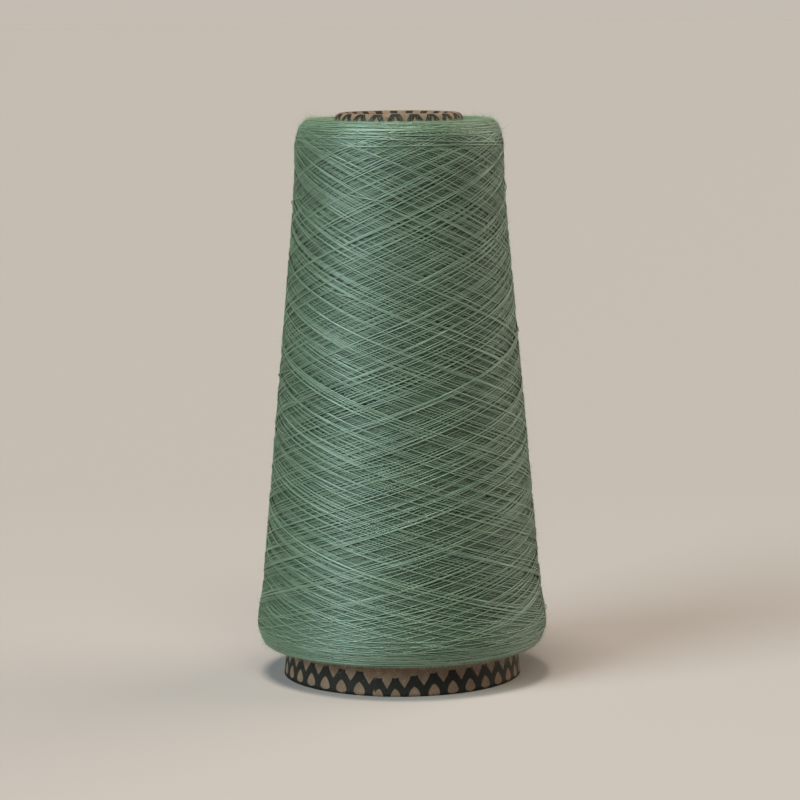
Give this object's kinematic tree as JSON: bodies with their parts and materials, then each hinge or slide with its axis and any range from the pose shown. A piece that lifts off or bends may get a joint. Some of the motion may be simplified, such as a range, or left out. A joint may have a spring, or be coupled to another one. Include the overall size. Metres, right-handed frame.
{
  "type": "yarn cone",
  "caption": "Paper winding cone with a turned-in nose and a printed zigzag rim, holding a full cross-wound package of fine yarn.",
  "frame": {"origin": "centre of the base rim, on the surface that the cone stands on", "axes": "+Z along the cone's axis, from the base rim to the nose; -Y is the front"},
  "size_m": [0.0878, 0.0878, 0.17],
  "materials": {
    "liner_paper": "matte",
    "grey_board": "matte",
    "printed_kraft": "matte",
    "yarn_core": "matte",
    "yarn": "matte"
  },
  "bodies": {
    "root": {"cone_inner_ply": "liner_paper", "cone_board_plies": "grey_board", "cone_printed_ply": "printed_kraft", "yarn_core_windings": "yarn_core", "yarn_surface_windings": "yarn"}
  },
  "joints": []
}
